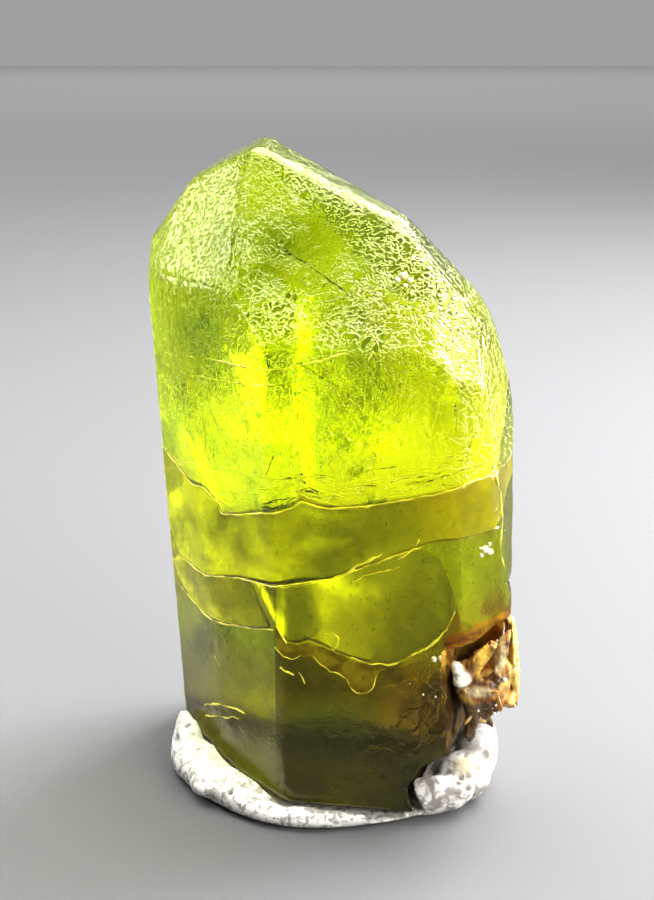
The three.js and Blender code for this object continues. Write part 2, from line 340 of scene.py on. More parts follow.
def grain_tree():
    """Scatters rough grains or shards over a surface and keeps the surface. Sizes are in mm."""
    nodes, given, out = new_geometry_group("grains", {
        "Per Square Mm": 1.0, "Least Size": 0.05, "Largest Size": 0.12, "Width": 1.0, "Length": 1.0,
        "Highest": 100.0, "Farthest Right": 100.0, "Seed": 1})
    surface, seed = given["Geometry"], given["Seed"]
    place = nodes.add("GeometryNodeInputPosition").outputs[0]
    along, _, height = nodes.axes(place)
    low = nodes.math("LESS_THAN", height, nodes.product(given["Highest"], MM))
    near = nodes.math("LESS_THAN", along, nodes.product(given["Farthest Right"], MM))
    points = nodes.add(
        "GeometryNodeDistributePointsOnFaces", Mesh=surface, Selection=nodes.product(low, near), Seed=seed,
        Density=nodes.product(given["Per Square Mm"], 1 / MM ** 2)).outputs["Points"]
    ball = nodes.add("GeometryNodeMeshIcoSphere", Radius=MM, Subdivisions=2).outputs["Mesh"]
    swell = nodes.vector("SCALE", place, Scale=nodes.product(nodes.swing(place, 1.1 / MM, 2), 1.1))
    rough = nodes.add("GeometryNodeSetPosition", Geometry=ball, Offset=swell).outputs[0]
    size = nodes.add("FunctionNodeRandomValue", i2=given["Least Size"], i3=given["Largest Size"],
                     Seed=seed).outputs[1]
    shape = nodes.add("CombineXYZ", X=given["Width"], Y=1.0, Z=given["Length"]).outputs[0]
    turn = nodes.add("FunctionNodeRandomValue", {"data_type": "FLOAT_VECTOR"}, i0=(0, 0, 0),
                     i1=(6.3, 6.3, 6.3), Seed=seed).outputs[0]
    grains = nodes.add("GeometryNodeInstanceOnPoints", Points=points, Instance=rough, Rotation=turn,
                       Scale=nodes.vector("SCALE", shape, Scale=size)).outputs[0]
    both = nodes.add("GeometryNodeJoinGeometry")
    nodes.feed(both.inputs[0], painted(nodes, grains, given["Material"]))
    nodes.feed(both.inputs[0], surface)
    nodes.feed(out["Geometry"], both.outputs[0])
    return nodes.tree


SHARED_GROUPS = {"mottle": mottle_group, "patch": patch_group, "relief": relief_tree, "grains": grain_tree}


def shared_group(name):
    """A node group that more than one material or piece uses, built the first time it is asked for."""
    return bpy.data.node_groups.get(name) or SHARED_GROUPS[name]()


def use_tree(piece, name, **values):
    """Bakes a shared geometry tree onto the piece, with its inputs set by their sockets' identifiers."""
    modifier = piece.modifiers.new(name, "NODES")
    modifier.node_group = shared_group(name)
    for item in modifier.node_group.interface.items_tree:
        key = item.name.lower().replace(" ", "_")
        if item.item_type == "SOCKET" and item.in_out == "INPUT" and key in values:
            modifier[item.identifier] = values[key]
    baked(piece)


# ------------------------------------------------------------------ flat faces and their points


class Prism:
    """A solid between flat faces, held as their outward normals and their distances in mm."""

    LEAST_AREA = 0.45
    SAME_DIRECTION = 0.99995
    SAME_PLANE = 0.004
    OUTERMOST = 0.01
    SHORTEST_EDGE = 1e-3
    WIDE = 60.0

    def __init__(self, normals, distances):
        self.normals = normals
        self.distances = distances

    @classmethod
    def between(cls, planes):
        """The solid between planes, each an outward direction and a distance along it."""
        directions, distances = (np.array(part) for part in zip(*planes))
        lengths = np.linalg.norm(directions, axis=1)
        return cls(directions / lengths[:, None], distances / lengths)

    @classmethod
    def of_node(cls, node):
        """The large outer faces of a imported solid, from the largest down."""
        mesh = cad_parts[node].data
        mesh.calc_loop_triangles()
        points = np.array([v.co for v in mesh.vertices]) / MM
        triangles = np.array([t.vertices for t in mesh.loop_triangles])
        a, b, c = (points[triangles[:, i]] for i in range(3))
        cross = np.cross(b - a, c - a)
        twice = np.linalg.norm(cross, axis=1)
        normals = cross / np.maximum(twice, 1e-12)[:, None]
        middle = (a + b + c) / 3
        free = twice > 1e-9
        found = []
        for first in np.argsort(-twice):
            if not free[first]:
                continue
            normal = normals[first]
            same = free & (normals @ normal > cls.SAME_DIRECTION)
            same &= np.abs((middle - middle[first]) @ normal) < cls.SAME_PLANE
            free &= ~same
            area = twice[same].sum() / 2
            distance = normal @ middle[first]
            if area > cls.LEAST_AREA and (points @ normal).max() < distance + cls.OUTERMOST:
                found.append((*normal, distance))
        found = np.array(found)
        return cls(found[:, :3], found[:, 3])

    def depth(self, points):
        """How far each point is beyond each plane; negative is inside."""
        return points @ self.normals.T - self.distances

    def polygon(self, index):
        """Corners of one face, anticlockwise as seen from outside, with its two axes."""
        normal, distance = self.normals[index], self.distances[index]
        across = np.cross(normal, (0.0, 0.0, 1.0))
        if np.linalg.norm(across) < 1e-3:
            across = np.array((1.0, 0.0, 0.0))
        across /= np.linalg.norm(across)
        up = np.cross(normal, across)
        ring = [distance * normal + self.WIDE * (s * across + t * up)
                for s, t in ((-1, -1), (1, -1), (1, 1), (-1, 1))]
        for other in range(len(self.normals)):
            if other == index:
                continue
            cut = []
            for p, q in zip(ring, ring[1:] + ring[:1]):
                dp = p @ self.normals[other] - self.distances[other]
                dq = q @ self.normals[other] - self.distances[other]
                if dp <= 0:
                    cut.append(p)
                if dp * dq < 0:
                    cut.append(p + (q - p) * dp / (dp - dq))
            ring = cut
            if len(ring) < 3:
                return None
        clean = [p for p, q in zip(ring, ring[1:] + ring[:1]) if np.linalg.norm(p - q) > self.SHORTEST_EDGE]
        return (clean, across, up) if len(clean) >= 3 else None

    def front(self, x, z):
        """The y of the front surface at each x, z."""
        facing = self.normals[:, 1] < -1e-3
        return self._side(facing, x, z).max(axis=1)

    def back(self, x, z):
        """The y of the back surface at each x, z."""
        facing = self.normals[:, 1] > 1e-3
        return self._side(facing, x, z).min(axis=1)

    def _side(self, facing, x, z):
        """The y of each of those planes at each x, z."""
        n, d = self.normals[facing], self.distances[facing]
        return (d - np.outer(x, n[:, 0]) - np.outer(z, n[:, 2])) / n[:, 1]


# Faces whose normals have less y than this look forward.
FORWARD = -0.12
# How far the grid on a face stays off its border, as a share of its step.
BORDER_GAP = 0.45


def ring_points(corners, step):
    """Points along a closed ring of corners, about a step apart."""
    found = []
    for p, q in zip(corners, np.roll(corners, -1, axis=0)):
        count = max(1, round(np.linalg.norm(q - p) / step))
        found += [p + (q - p) * i / count for i in range(count)]
    return found


def inner_points(corners, step):
    """Points in a grid of triangles inside a ring of corners, clear of its border."""
    low, high = corners.min(axis=0), corners.max(axis=0)
    rows = []
    for number, row in enumerate(np.arange(low[1], high[1], step * math.sqrt(3) / 2)):
        columns = np.arange(low[0] + (number % 2) * step / 2, high[0], step)
        rows.append(np.column_stack((columns, np.full(len(columns), row))))
    found = np.concatenate(rows)
    away = np.full(len(found), np.inf)
    for p, q in zip(corners, np.roll(corners, -1, axis=0)):
        along = (q - p) / np.linalg.norm(q - p)
        away = np.minimum(away, (found - p) @ np.array((-along[1], along[0])))
    return found[away > BORDER_GAP * step]


def crystal_skin(prism, front_step, back_step):
    """Points and triangles that cover every face, closer together at the edges and in front."""
    points, faces, count = [], [], 0
    for index, normal in enumerate(prism.normals):
        found = prism.polygon(index)
        if found is None:
            continue
        ring, across, up = found
        origin = ring[0]
        flat = np.array([((p - origin) @ across, (p - origin) @ up) for p in ring])
        border = ring_points(flat, front_step)
        inside = inner_points(flat, front_step if normal[1] < FORWARD else back_step)
        coords = [Vector(p) for p in (*border, *inside)]
        made = geometry.delaunay_2d_cdt(coords, [], [list(range(len(border)))], 1, 1e-7)
        places = np.array([tuple(v) for v in made[0]])
        points.append(origin + places[:, :1] * across + places[:, 1:] * up)
        faces += [[count + i for i in face] for face in made[2]]
        count += len(places)
    return np.concatenate(points), faces


def worn(prism, points, radius):
    """Points moved in so that the edges are rounded, and the normals there."""
    for _ in range(2):
        depth = prism.depth(points)
        weight = np.exp(depth / radius[:, None])
        total = weight.sum(axis=1)
        normal = (weight / total[:, None]) @ prism.normals
        squared = (normal ** 2).sum(axis=1)
        points = points - normal * (radius * np.log(total) / squared)[:, None]
    return points, normal / np.sqrt(squared)[:, None]


# ------------------------------------------------------------------ cracks inside the crystal


def closed_sheet(grid, half):
    """A thin hollow between two copies of a grid of points, its faces turned into the hollow."""
    rows, columns = grid.shape[:2]
    lift = np.zeros_like(grid)
    lift[..., 2] = half
    top, bottom = grid + lift, grid - lift
    number = np.arange(rows * columns).reshape(rows, columns)
    border = np.ones((rows, columns), bool)
    border[1:-1, 1:-1] = False
    lower = np.where(border, number, number + rows * columns)
    points = np.concatenate((top.reshape(-1, 3), bottom.reshape(-1, 3)))
    faces = []
    for i in range(rows - 1):
        for j in range(columns - 1):
            corners = ((i, j), (i + 1, j), (i + 1, j + 1), (i, j + 1))
            faces.append([number[c] for c in reversed(corners)])
            faces.append([lower[c] for c in corners])
    return points, faces


class Fracture:
    """A sheet-like crack that starts along a trace on the front and rises towards the back."""

    SKIN = 0.05
    STEP = 0.2
    THICKNESS = 0.03
    RISE_AT_BACK = 5.5
    SHORT_OF_BACK = 0.5

    def __init__(self, prism, trace, slope, easing, wave, seed):
        self.prism = prism
        self.trace = np.array(trace)
        self.slope = slope
        self.easing = easing
        self.wave = wave
        self.seed = seed

    def level(self, x, y):
        """Height of the sheet at each x, y."""
        start_level = np.interp(x, *self.trace.T)
        run = y - self.prism.front(x, start_level)
        flat = np.column_stack((x, y, np.zeros(len(x))))
        bend = noise_at(flat, 0.2, self.seed) * self.wave
        fine = noise_at(flat, (1.1, 0.5, 1.0), self.seed + 7) * self.wave * 0.1
        rise = self.slope * run / (1 + np.clip(run, 0, 20) * self.easing)
        return start_level + rise + (bend + fine) * np.clip(run * 0.7, 0, 1)

    def shell(self, reach, rows):
        """The crack as a closed hollow that goes back by that share of the crystal's depth."""
        across = np.arange(self.trace[0, 0], self.trace[-1, 0], self.STEP)
        start_level = np.interp(across, *self.trace.T)
        start = self.prism.front(across, start_level) + self.SKIN
        end = self.prism.back(across, start_level + self.RISE_AT_BACK) - self.SHORT_OF_BACK
        along = np.linspace(0, 1, rows)
        y = start[:, None] + ((end - start) * reach)[:, None] * along
        x = np.repeat(across[:, None], rows, axis=1)
        z = self.level(x.ravel(), y.ravel()).reshape(x.shape)
        ends = np.minimum(along, 1 - along)[None, :] * 12
        sides = np.minimum(np.arange(len(across)), np.arange(len(across))[::-1])[:, None] * 0.3
        half = self.THICKNESS / 2 * np.clip(np.minimum(ends, sides), 0, 1)
        return closed_sheet(np.stack((x, y, z), axis=-1), half)


# Traces on the front face, as x and z in mm.
MAIN_TRACE = (
    (-7.3, 14.0), (-6.9, 13.8), (-6.1, 13.3), (-5.4, 13.4), (-4.9, 13.05), (-4.6, 12.55), (-4.0, 12.75),
    (-2.9, 13.3), (-1.6, 13.75), (-1.2, 14.1), (-0.6, 13.9), (0.0, 13.83), (1.4, 14.0), (2.8, 14.3),
    (4.3, 14.67), (5.5, 15.1), (6.8, 15.2))
SECOND_TRACE = (
    (-7.0, 9.2), (-6.5, 9.27), (-5.5, 9.3), (-3.8, 10.0), (-2.5, 10.3), (-1.2, 10.64), (0.0, 10.84),
    (0.8, 11.2), (2.2, 11.8), (3.6, 12.45))
SECOND_SHEET = (*SECOND_TRACE, (4.5, 12.7), (5.6, 12.8), (7.0, 12.9))
HAZE_TRACE = (*SECOND_TRACE, (4.4, 11.9), (4.95, 10.5), (5.3, 9.2), (7.7, 8.5))
THIRD_TRACE = (
    (-6.8, 7.7), (-6.34, 7.52), (-5.6, 7.34), (-4.7, 7.45), (-3.9, 7.76), (-2.7, 8.23), (-2.3, 8.45))
DISC_TRACE = (
    (-2.3, 8.6), (-1.9, 8.1), (-1.4, 7.95), (-0.9, 8.15), (-0.34, 8.0), (0.2, 7.7), (0.81, 7.51), (1.6, 7.33),
    (2.45, 7.3), (3.1, 7.6), (3.65, 8.0), (4.1, 8.3), (4.45, 8.63), (4.8, 9.2), (5.0, 9.75))
RUST_TRACE = (
    (-2.3, 7.7), (-2.0, 7.4), (-1.6, 7.3), (-1.2, 7.5), (-0.8, 7.5), (-0.4, 7.1), (0.0, 6.85), (0.4, 6.75),
    (0.7, 6.55), (0.85, 6.2), (1.05, 6.0), (1.3, 5.92), (1.55, 6.0), (1.75, 6.25), (1.85, 6.6), (1.95, 6.95),
    (2.3, 7.1), (2.9, 7.2), (3.6, 7.5), (4.5, 7.6), (6.1, 8.0), (7.7, 8.0))

# Fine lines on the front: edges of the cracks, ledges and healed veins, drawn in a bright yellow that is a
# painted glint of the light they catch. Each has its radius in mm.
VEINS = {
    "main": (0.05, MAIN_TRACE),
    "second": (0.045, SECOND_TRACE),
    "third": (0.04, THIRD_TRACE),
    "disc": (0.045, DISC_TRACE[6:]),
    "rust": (0.03, RUST_TRACE[:17]),
    "glints": (0.05, ((0.59, 11.09), (1.07, 11.5), (1.67, 11.79), (2.1, 12.15))),
    "more_glints": (0.04, ((2.47, 11.75), (2.98, 12.03), (3.33, 12.34), (3.56, 12.81))),
    "low_glints": (0.04, ((0.87, 10.77), (1.27, 11.05), (1.99, 11.26), (2.87, 11.52))),
    "hook": (0.035, ((-0.22, 8.5), (0.07, 8.6), (0.31, 8.36), (0.31, 8.01), (0.11, 7.82), (-0.18, 8.19))),
    "tick": (0.03, ((-5.13, 5.65), (-4.94, 5.51), (-4.79, 5.32))),
    "left_glint": (0.06, ((-2.08, 6.85), (-1.75, 6.72), (-1.42, 6.57))),
    "left_glint_drop": (0.04, ((-1.3, 6.75), (-1.13, 6.41), (-1.01, 6.2))),
    "ledge": (0.045, ((-5.78, 2.51), (-5.33, 3.01), (-4.69, 3.52), (-4.11, 3.75), (-3.64, 3.75))),
    "lower_ledge": (0.035, ((-5.69, 2.02), (-5.03, 2.64), (-4.41, 3.17), (-3.93, 3.38))),
    "tongue": (0.035, (
        (-2.95, 10.15), (-2.83, 9.54), (-2.49, 9.18), (-2.19, 8.96), (-2.11, 8.45), (-1.74, 7.87))),
    "high": (0.035, (
        (-7.18, 18.79), (-5.43, 19.11), (-3.63, 19.28), (-1.98, 19.43), (-0.41, 19.8), (0.75, 20.22))),
    "high_2": (0.025, ((-6.41, 18.22), (-4.76, 18.36), (-3.21, 18.66), (-1.2, 19.05))),
    "drop": (0.04, ((-5.67, 17.22), (-5.27, 16.26), (-5.26, 15.16), (-4.95, 14.39))),
    "drop_2": (0.03, ((-3.74, 18.17), (-3.41, 17.31), (-3.29, 16.3), (-2.96, 15.49))),
    "drop_3": (0.03, ((-1.59, 18.44), (-1.48, 17.23), (-1.61, 16.0), (-1.54, 14.97))),
    "sill": (0.025, ((-7.43, 13.11), (-6.05, 14.32), (-4.16, 14.69), (-2.42, 15.0), (-0.02, 15.21))),
    "sill_2": (0.02, ((-1.22, 14.66), (0.38, 14.9), (2.35, 15.23), (4.29, 15.65), (6.11, 15.8))),
    "right_drop": (0.04, ((5.83, 18.55), (6.2, 17.47), (6.4, 16.41), (6.52, 15.46))),
    "right_chain": (0.05, ((6.56, 15.36), (6.83, 14.42), (6.99, 13.15), (6.87, 12.19), (7.08, 11.08))),
}
# Dark needles, each with its radius in mm.
NEEDLES = {
    "long_needle": (0.035, ((-1.91, 23.6), (-1.02, 23.1), (-0.02, 22.5), (0.96, 21.9))),
    "short_needle": (0.03, ((-1.86, 20.0), (-0.8, 19.35), (0.37, 18.7))),
}
# Pale specks on the front, as x, z and radius in mm.
SPECKS = (
    (6.2, 12.15, 0.17), (6.42, 12.0, 0.15), (6.05, 11.95, 0.09), (6.4, 12.33, 0.08), (6.0, 12.25, 0.06),
    (4.2, 7.66, 0.12), (4.5, 7.72, 0.13), (3.25, 6.54, 0.03), (3.79, 6.09, 0.05), (4.3, 6.03, 0.04),
    (4.5, 7.2, 0.05), (5.3, 6.1, 0.08), (5.0, 5.4, 0.05), (2.9, 22.9, 0.16), (3.15, 22.75, 0.12),
    (2.65, 22.75, 0.12), (2.95, 22.55, 0.1),
)


# ------------------------------------------------------------------ the crystal's mesh


# Slots of the crystal's materials. The veins' slot is a bright yellow that is partly a painted glint.
GEM, OPEN_CRACK, STAINED_CRACK, FOOT, DARK_BREAK, CRUST, VEIN_AND_GLINT, NEEDLE, PALE_SPECK = range(9)

# Breaks in the crystal: the centre and radii of what is lost, in mm, and the material of the scar.
CHIPS = {
    # The scars of the two lost corners below are near black: painted shade where the broken underside lies in
    # shadow.
    "lost_lower_right_corner": ((5.9, -5.4, 1.6), (2.75, 4.0, 2.1), DARK_BREAK),
    "lost_right_foot": ((8.0, -1.6, 0.8), (2.7, 3.4, 2.6), DARK_BREAK),
    "rounded_left_foot": ((-8.3, 0.6, 0.2), (1.9, 3.2, 1.7), GEM),
    "notch_right": ((8.05, -4.3, 10.3), (0.75, 1.1, 0.6), GEM),
    "notch_left": ((-8.3, 2.2, 14.2), (0.6, 1.3, 0.45), GEM),
    "scar_back": ((-2.6, 8.9, 6.4), (3.6, 3.9, 4.4), GEM),
    "second_scar_back": ((4.6, 8.2, 11.5), (3.2, 3.4, 3.0), GEM),
}
# Walls of the matrix's pocket: outward directions, and distances in mm.
SEAT_PLANES = (
    ((-0.95, 0.3, -0.1), -6.9), ((0.1, 0.97, 0.2), -1.05), ((-0.25, -0.1, 0.96), 7.2),
    ((0.1, 0.05, -1.0), -2.7), ((1.0, 0.0, 0.0), 12.0), ((0.0, -1.0, 0.0), 12.0))
# The cracks: trace, slope, how the slope eases, height of its waves in mm and seed.
SECOND_RUN = (0.5, 0.05, 0.5, 23.0)
CRACKS = {
    "main": (MAIN_TRACE, 0.78, 0.06, 0.5, 3.0),
    "second": (HAZE_TRACE, *SECOND_RUN),
    "third": (THIRD_TRACE, 0.45, 0.05, 0.4, 43.0),
    "disc": (DISC_TRACE, 0.5, 0.05, 0.3, 63.0),
}
# Their hollow sheets: material, crack, share of the crystal's depth and rows of points.
SHEETS = (
    (OPEN_CRACK, CRACKS["main"], 0.95, 50),
    (STAINED_CRACK, (SECOND_SHEET, *SECOND_RUN), 0.85, 40),
    (STAINED_CRACK, CRACKS["third"], 0.6, 30),
    (STAINED_CRACK, CRACKS["disc"], 0.5, 30),
)
# The groove along the main crack and the step below it, in mm.
GROOVE_WIDTH, GROOVE_DEPTH, STEP_DEPTH = 0.09, 0.09, 0.05
# Distance between a vein's rings of points, and size of the remesh voxel of the pocket, in mm.
VEIN_STEP, SEAT_VOXEL = 0.09, 0.16
# How many loose streaks the clear half has, and how many along the main crack.
STREAKS, LAMELLAE = 110, 70


def zones(prism, points, normals):
    """Numbers for the materials at each point of the skin: mm above each crack, and which face it is on."""
    x, y, z = points.T
    found = {"above_" + name: z - Fracture(prism, *crack).level(x, y) for name, crack in CRACKS.items()}
    found["above_rust"] = z - np.interp(x, *np.array(RUST_TRACE).T)
    found["along"] = x
    right, rear, up = normals.T
    side = smoothstep(np.abs(right), 0.25, 0.4) * smoothstep(-rear, 0.1, 0.4)
    found["pyramid"] = smoothstep(up, 0.3, 0.4) * (0.05 + 0.95 * smoothstep(-rear, 0.3, 0.5))
    found["pyramid_side"] = side * found["pyramid"]
    found["rear"] = smoothstep(rear, -0.05, 0.2)
    found["roof"] = found["rear"] * smoothstep(up, 0.3, 0.45)
    return found


def add_faces(bm, points, faces, slot):
    """Adds points and the faces between them, with that material slot."""
    verts = [bm.verts.new(point) for point in points]
    for face in faces:
        bm.faces.new([verts[i] for i in face]).material_index = slot


def add_tube(bm, points, radii, slot, sides=5):
    """A closed thin tube along the points."""
    ahead = np.gradient(points, axis=0)
    ahead /= np.linalg.norm(ahead, axis=1)[:, None]
    across = np.cross(ahead, (0.0, 1.0, 0.0))
    across /= np.linalg.norm(across, axis=1)[:, None]
    out = np.cross(across, ahead)
    turns = [2 * math.pi * k / sides for k in range(sides)]
    rings = []
    for point, a, o, radius in zip(points, across, out, radii):
        ring = [point + radius * (a * math.cos(t) + o * math.sin(t)) for t in turns]
        rings.append([bm.verts.new(corner * MM) for corner in ring])
    faces = [bm.faces.new(rings[0][::-1]), bm.faces.new(rings[-1])]
    for ring, after in zip(rings, rings[1:]):
        for k in range(sides):
            n = (k + 1) % sides
            faces.append(bm.faces.new((ring[k], ring[n], after[n], after[k])))
    for face in faces:
        face.material_index = slot


def add_vein(bm, prism, trace, radius, slot, depth, seed):
    """A vein on the front surface along a trace of x and z. It swells and thins out along its way."""
    trace = np.array(trace, float)
    steps = np.concatenate(([0], np.cumsum(np.linalg.norm(np.diff(trace, axis=0), axis=1))))
    along = np.arange(0, steps[-1], VEIN_STEP)
    x = np.interp(along, steps, trace[:, 0])
    z = np.interp(along, steps, trace[:, 1])
    wander = np.column_stack((along, np.zeros(len(along)), np.full(len(along), seed)))
    x += 0.05 * noise_at(wander, 2.0, seed)
    z += 0.07 * noise_at(wander, 2.3, seed + 5, 3)
    y = prism.front(x, z) + depth
    swell = np.clip(0.75 + 1.6 * noise_at(wander, 1.9, seed + 11, 3), 0.12, 1.9)
    add_tube(bm, np.column_stack((x, y, z)), radius * swell, slot)


def add_marks(bm, prism):
    """Edges and veins in a bright yellow that is a painted glint, dark needles, pale specks and the fine
    streaks of the clear half, most of these streaks in the same painted glint.
    """
    for seed, (radius, trace) in enumerate(VEINS.values()):
        add_vein(bm, prism, trace, radius * 0.75, VEIN_AND_GLINT, radius * 0.7, seed * 3.1)
    for seed, (radius, trace) in enumerate(NEEDLES.values()):
        add_vein(bm, prism, trace, radius, NEEDLE, 0.7, seed * 2.3)
    chance = np.random.default_rng(8)
    for number in range(STREAKS):
        x, z = chance.uniform(-6.8, 6.6), chance.uniform(14.6, 19.4)
        rise = chance.uniform(0.3, 1.6)
        lean = chance.normal(0, 0.25)
        trace = ((x, z), (x + lean * rise, z + rise))
        slot = NEEDLE if number % 7 == 0 else VEIN_AND_GLINT
        add_vein(bm, prism, trace, chance.uniform(0.01, 0.028), slot, chance.uniform(0.03, 0.5), number * 1.7)
    for number in range(LAMELLAE):
        start = chance.uniform(-4.8, 5.6)
        x = start + chance.uniform(0.5, 2.4) * np.array((0.0, 0.5, 1.0))
        lift = chance.uniform(0.12, 1.5)
        trace = np.column_stack((x, np.interp(x, *np.array(MAIN_TRACE).T) + lift + chance.normal(0, 0.06, 3)))
        slot = NEEDLE if number % 5 == 0 else VEIN_AND_GLINT
        add_vein(bm, prism, trace, chance.uniform(0.012, 0.03), slot, chance.uniform(0.02, 0.2), number * 2.9)
    for x, z, radius in SPECKS:
        y = prism.front(np.array([x]), np.array([z]))[0]
        ball = bmesh.ops.create_icosphere(bm, subdivisions=2, radius=radius * MM)["verts"]
        for vert in ball:
            bump = 1 + 0.35 * noise.noise(vert.co * 9000 + Vector((x, 0, z)))
            vert.co = vert.co * bump + Vector((x, y + 0.03, z)) * MM
        for face in {face for vert in ball for face in vert.link_faces}:
            face.material_index = PALE_SPECK


def make_crystal_mesh(prism, settings):
    """The crystal's worn and etched skin, the sheets of its cracks and the marks on its front."""
    bm = bmesh.new()
    add_faces(bm, *crystal_skin(prism, settings.front_step / MM, settings.back_step / MM), GEM)
    bmesh.ops.remove_doubles(bm, verts=bm.verts, dist=2e-3)
    points = np.array([v.co for v in bm.verts])
    radius = settings.edge_wear / MM * (1 + 0.5 * noise_at(points, 1.3, 5.0))
    radius += 0.03 * smoothstep(points[:, 2], 18.0, 21.0) * smoothstep(-points[:, 1], -2.0, 0.0)
    points, normals = worn(prism, points, np.clip(radius, 0.01, 1))
    found = zones(prism, points, normals)
    etch = np.clip(noise_at(points, (3.2, 3.2, 2.2), 9.0), 0, 1)
    points -= normals * (settings.etch_depth / MM * etch * found["pyramid"])[:, None]
    groove = np.exp(-(found["above_main"] / GROOVE_WIDTH) ** 2) * GROOVE_DEPTH
    groove += smoothstep(-found["above_main"], -0.1, 0.15) * STEP_DEPTH
    points -= normals * (groove * smoothstep(-normals[:, 1], 0.2, 0.5))[:, None]
    for vert, point in zip(bm.verts, points):
        vert.co = point * MM
    for name, values in found.items():
        layer = bm.verts.layers.float.new(name)
        for vert, value in zip(bm.verts, values):
            vert[layer] = value
    for slot, crack, reach, rows in SHEETS:
        points, faces = Fracture(prism, *crack).shell(reach, rows)
        add_faces(bm, points * MM, faces, slot)
    bmesh.ops.delete(bm, geom=[v for v in bm.verts if not v.link_faces], context="VERTS")
    add_marks(bm, prism)
    bmesh.ops.triangulate(bm, faces=bm.faces)
    return finished(mesh_of(bm, "peridot_gem"))


def chip_cutter(name, centre, radii, seed):
    """A rough ellipsoid, rippled like a conchoidal break."""
    bm = bmesh.new()
    ball = bmesh.ops.create_icosphere(bm, subdivisions=5, radius=1.0)["verts"]
    directions = np.array([v.co for v in ball])
    shape = 1 + 0.05 * noise_at(directions, 2.0, seed, 3)
    ripple = 0.012 * np.sin(22 * np.linalg.norm(directions - (0.6, 0.3, 0.8), axis=1))
    for vert, direction, swell in zip(ball, directions, shape + ripple):
        vert.co = (np.array(centre) + direction * np.array(radii) * swell) * MM
    return new_object(name, mesh_of(bm, name))


def seat_cutter(material):
    """The pocket of the matrix, with rough walls."""
    solid = Prism.between(SEAT_PLANES)
    bm = bmesh.new()
    for index in range(len(SEAT_PLANES)):
        corners = solid.polygon(index)[0]
        bm.faces.new([bm.verts.new(corner * MM) for corner in corners])
    bmesh.ops.remove_doubles(bm, verts=bm.verts, dist=1e-6)
    bmesh.ops.recalc_face_normals(bm, faces=bm.faces)
    cutter = remeshed(new_object("seat", mesh_of(bm, "seat")), SEAT_VOXEL * MM, 1)
    use_tree(cutter, "relief", lump_height=0.5, lump_size=0.9, pit_depth=0.12, pit_size=0.4,
             grit_height=0.12, grit_size=0.25, flat_below=-50.0, material=material)
    return cutter


def cut_away(piece, cutter, slot):
    """Takes the cutter out of the piece, gives the cut that material slot, and removes the cutter."""
    cutter.data.materials.clear()
    cutter.data.materials.append(piece.data.materials[slot])
    modifier = piece.modifiers.new("cut", "BOOLEAN")
    modifier.operation = "DIFFERENCE"
    modifier.solver = "MANIFOLD"
    modifier.object = cutter
    baked(piece)
    bpy.data.objects.remove(cutter)


def rough_piece(name, node, voxel, rounds, **relief):
    """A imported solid's mesh with an even skin and a rough relief."""
    piece = remeshed(new_object(name, merged_copy(node, name)), voxel, rounds)
    use_tree(piece, "relief", **relief)
    return piece


def paint_foot(mesh):
    """Gives the broken faces that look down into the putty a material of their own: near black, partly rust
    and partly painted shade under the crystal.
    """
    for polygon in mesh.polygons:
        if polygon.normal.z < -0.6 and polygon.center.z < 4 * MM and polygon.material_index == GEM:
            polygon.material_index = FOOT


# ------------------------------------------------------------------ materials


PERIDOT_IOR = 1.67
ABSORBED = (0.986, 0.991, 0.17)
ABSORPTION_DENSITY = 1200.0

# Dark and light tints of the crystal's zones. Below the main crack they are the stains' own colours, also
# darkened as painted shade for the light that the cracks keep from the lower half.
ZONE_TINTS = {
    "foot": ((0.045, 0.03, 0.0), (0.13, 0.1, 0.001)),
    "block": ((0.27, 0.37, 0.002), (0.45, 0.5, 0.004)),
    "brown": ((0.42, 0.33, 0.002), (0.68, 0.55, 0.004)),
    "rust_lobe": ((0.16, 0.06, 0.0), (0.55, 0.3, 0.002)),
    "disc": ((0.24, 0.2, 0.002), (0.38, 0.32, 0.003)),
    "band": ((0.66, 0.58, 0.004), (0.95, 0.88, 0.006)),
    "amber": ((0.42, 0.13, 0.0), (1.0, 0.72, 0.003)),
    "stain": ((0.05, 0.012, 0.0), (0.55, 0.2, 0.001)),
}
# Plain tints laid over the zones.
GREEN_STAIN, LOW_BROWN, HIGH_GREEN = (0.035, 0.05, 0.001), (0.13, 0.085, 0.002), (0.22, 0.42, 0.01)
# The second tint on the next line is a painted highlight: the bright yellow of the crack edges where they
# catch the light.
AMBER_EDGE, PAINTED_CRACK_GLINT = (0.6, 0.3, 0.002), (1.0, 0.8, 0.03)
REAR_FOOT, REAR_GREEN, CRACK_GREEN = (0.13, 0.1, 0.002), (0.05, 0.16, 0.004), (0.12, 0.2, 0.005)
# Ragged patches: scale per metre, detail, the noise where they start and where they are full, distortion.
MOTTLES = {
    "cloud": (420, 3, 0.35, 0.7, 0.0),
    "spots": (1500, 3, 0.36, 0.62, 0.8),
    "flecks": (5200, 2, 0.63, 0.68, 0.0),
    "rust": (1000, 3, 0.42, 0.6, 0.5),
    "etched": (330, 2, 0.42, 0.6, 0.0),
    "broken": (1700, 2, 0.4, 0.6, 0.4),
    "pocket": (1300, 4, 0.4, 0.65, 0.6),
    "rock": (1500, 4, 0.4, 0.62, 0.6),
    "ochre": (700, 2, 0.4, 0.6, 0.0),
    "shard": (1800, 3, 0.35, 0.65, 0.0),
    "putty_pits": (800, 1, 0.46, 0.58, 0.0),
    "putty_specks": (3600, 4, 0.5, 0.6, 0.5),
    "putty_foot": (1300, 3, 0.3, 0.6, 0.0),
    "putty_smears": (1500, 4, 0.47, 0.58, 0.8),
}
# Smooth noises: scale per metre, detail and distortion.
NOISES = {
    "ragged": (900, 3, 0.0),
    "crackle": (1500, 2, 1.2),
    "worms": (3100, 2, 1.0),
    "scratches": (2600, 2, 0.4),
    "dents": (650, 2, 0.3),
    "streaks": (900, 4, 1.0),
    "blots": (260, 3, 0.4),
    "fibres": (3800, 2, 0.6),
}
